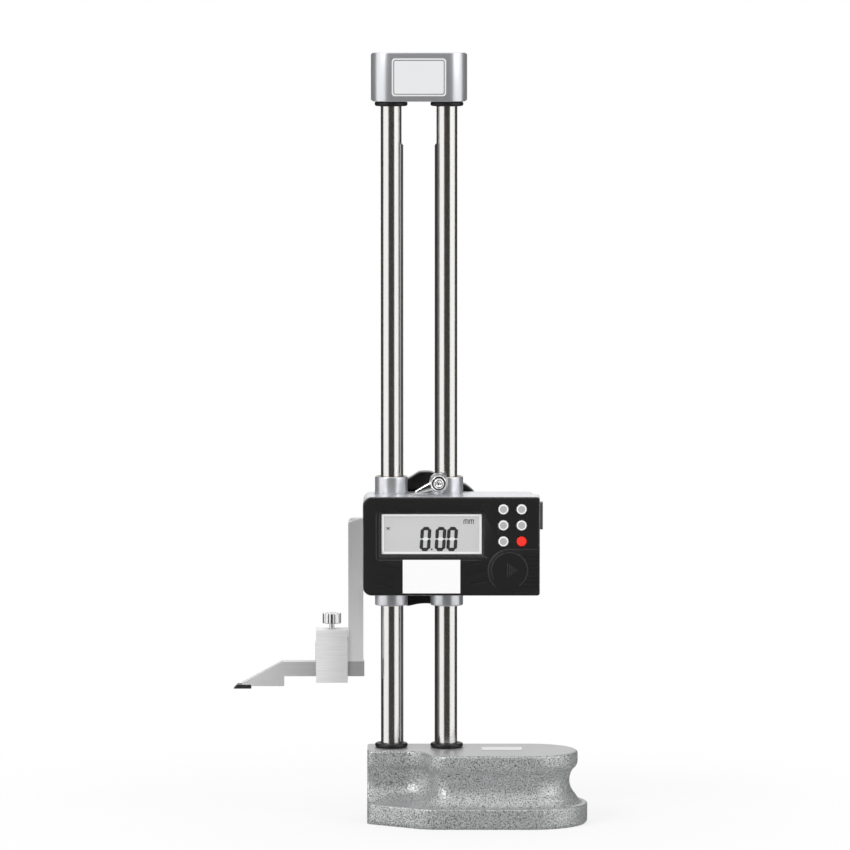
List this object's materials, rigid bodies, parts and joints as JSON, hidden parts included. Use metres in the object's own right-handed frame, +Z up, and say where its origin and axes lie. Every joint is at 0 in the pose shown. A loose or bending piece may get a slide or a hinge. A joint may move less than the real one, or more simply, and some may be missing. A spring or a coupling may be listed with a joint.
{
  "type": "height gauge",
  "caption": "Digital height gauge: heavy fluted base, twin chromed columns, geared slider with display, hand wheel behind, clamped carbide scriber.",
  "frame": {"origin": "on the ground underside of the base, midway between the two column axes", "axes": "+Z up along the columns, +X to the right as the display is read and away from the scriber, -Y towards the reader"},
  "size_m": [0.2194, 0.0818, 0.476],
  "materials": {
    "hammered_iron": "hammered grey paint on cast iron, ground underside",
    "ground_steel": "hard chromed and ground",
    "light_steel": "ground tooth strip",
    "dark_steel": "oiled dark tooth strip",
    "black_oxide": "black oxide",
    "silver_paint": "satin silver paint on die casting",
    "bare_plate": "plain pale plate",
    "black_rubber": "soft black rubber",
    "bronze": "sintered bronze",
    "black_plastic": "fine grained black moulding",
    "wheel_plastic": "black moulding",
    "clear_window": "clear window",
    "white_plastic": "white moulding",
    "screen_glass": "grey liquid crystal panel",
    "circuit_green": "glass fibre board",
    "grey_rubber": "silicone",
    "label_white": "plain white label",
    "button_white": "white key with grey centre",
    "button_red": "red key",
    "cell_steel": "nickel plated",
    "machine_steel": "machined steel",
    "bright_chrome": "polished chrome",
    "brass": "turned brass",
    "jaw_steel": "ground tool steel",
    "carbide": "dark carbide"
  },
  "bodies": {
    "stand": {"base_casting": "hammered_iron", "left_column": "ground_steel", "right_column": "ground_steel", "measuring_rack": "light_steel", "feed_rack": "dark_steel", "column_bolts": "black_oxide", "top_bracket": "silver_paint", "bracket_screws": "black_oxide", "bracket_plate": "bare_plate", "base_plate": "bare_plate", "bumper_rings": "black_rubber"},
    "slider": {"slider_body": "silver_paint", "guide_bushes": "bronze", "front_housing": "black_plastic", "screen_window": "clear_window", "screen_bezel": "white_plastic", "screen_panel": "screen_glass", "contact_strips": "grey_rubber", "display_board": "circuit_green", "key_mat": "grey_rubber", "front_label": "label_white", "coin_cell": "cell_steel", "battery_contact": "brass", "data_port": "black_plastic", "gear_cover": "silver_paint", "shaft_bushes": "bronze", "front_screws": "machine_steel", "cover_screws": "machine_steel", "jaw_screws": "black_oxide", "clamp_pad": "brass", "jaw_arm": "jaw_steel", "scriber_clamp": "jaw_steel", "sensor_ring": "white_plastic", "sensor_board": "circuit_green"},
    "feed_wheel": {"feed_shaft": "machine_steel", "feed_gear": "machine_steel", "hand_wheel": "wheel_plastic", "wheel_screw": "machine_steel"},
    "sensor": {"sensor_shaft": "machine_steel", "sensor_gear": "brass", "sensor_disc": "white_plastic"},
    "clamp_handle": {"clamp_lever": "bright_chrome", "lever_screw": "bright_chrome"},
    "scriber": {"scriber": "jaw_steel", "carbide_tip": "carbide"},
    "pressure_pad": {"pressure_pad": "machine_steel"},
    "clamp_screw": {"clamp_screw": "bright_chrome"},
    "battery_cover": {"battery_cover": "black_plastic"},
    "port_cover": {"port_cover": "black_rubber"},
    "button_lower_left": {"button_lower_left": "button_white"},
    "button_lower_right": {"button_lower_right": "button_red"},
    "button_middle_left": {"button_middle_left": "button_white"},
    "button_middle_right": {"button_middle_right": "button_white"},
    "button_upper_left": {"button_upper_left": "button_white"},
    "button_upper_right": {"button_upper_right": "button_white"}
  },
  "joints": [
    {"name": "slider_height", "type": "slide", "parent": "stand", "child": "slider", "axis": [0, 0, 1], "range_m": [-0.0818, 0.226]},
    {"name": "feed_wheel_turn", "type": "hinge", "parent": "slider", "child": "feed_wheel", "pos_m": [0.004, 0, 0.1722], "axis": [0, 1, 0], "range_deg": [-725, 1996]},
    {"name": "sensor_turn", "type": "hinge", "parent": "slider", "child": "sensor", "pos_m": [-0.0045, 0, 0.1573], "axis": [0, 1, 0], "range_deg": [-2162, 785]},
    {"name": "clamp_handle_turn", "type": "hinge", "parent": "slider", "child": "clamp_handle", "pos_m": [0.0122, 0, 0.2109], "axis": [0, 1, 0], "range_deg": [0, 110]},
    {"name": "scriber_reach", "type": "slide", "parent": "slider", "child": "scriber", "axis": [1, 0, 0], "range_m": [-0.008, 0.0015]},
    {"name": "pressure_pad_lift", "type": "slide", "parent": "slider", "child": "pressure_pad", "axis": [0, 0, 1], "range_m": [0, 0.001]},
    {"name": "clamp_screw_turn", "type": "hinge", "parent": "pressure_pad", "child": "clamp_screw", "pos_m": [-0.0541, 0, 0.1217], "axis": [0, 0, 1], "range_deg": [-3, 518]},
    {"name": "battery_cover_slide", "type": "slide", "parent": "slider", "child": "battery_cover", "axis": [1, 0, 0], "range_m": [0, 0.024]},
    {"name": "port_cover_pull", "type": "slide", "parent": "slider", "child": "port_cover", "axis": [1, 0, 0], "range_m": [0, 0.006]},
    {"name": "press_lower_left", "type": "slide", "parent": "slider", "child": "button_lower_left", "axis": [0, 1, 0], "range_m": [0, 0.0008], "stiffness_N_per_m": 900, "springref_m": -0.0004},
    {"name": "press_lower_right", "type": "slide", "parent": "slider", "child": "button_lower_right", "axis": [0, 1, 0], "range_m": [0, 0.0008], "stiffness_N_per_m": 900, "springref_m": -0.0004},
    {"name": "press_middle_left", "type": "slide", "parent": "slider", "child": "button_middle_left", "axis": [0, 1, 0], "range_m": [0, 0.0008], "stiffness_N_per_m": 900, "springref_m": -0.0004},
    {"name": "press_middle_right", "type": "slide", "parent": "slider", "child": "button_middle_right", "axis": [0, 1, 0], "range_m": [0, 0.0008], "stiffness_N_per_m": 900, "springref_m": -0.0004},
    {"name": "press_upper_left", "type": "slide", "parent": "slider", "child": "button_upper_left", "axis": [0, 1, 0], "range_m": [0, 0.0008], "stiffness_N_per_m": 900, "springref_m": -0.0004},
    {"name": "press_upper_right", "type": "slide", "parent": "slider", "child": "button_upper_right", "axis": [0, 1, 0], "range_m": [0, 0.0008], "stiffness_N_per_m": 900, "springref_m": -0.0004}
  ],
  "couplings": [
    {"joint": "feed_wheel_turn", "follows": "slider_height", "rad_per_m": 153.85},
    {"joint": "sensor_turn", "follows": "slider_height", "rad_per_m": -166.67},
    {"joint": "clamp_screw_turn", "follows": "pressure_pad_lift", "rad_per_m": 8976}
  ]
}
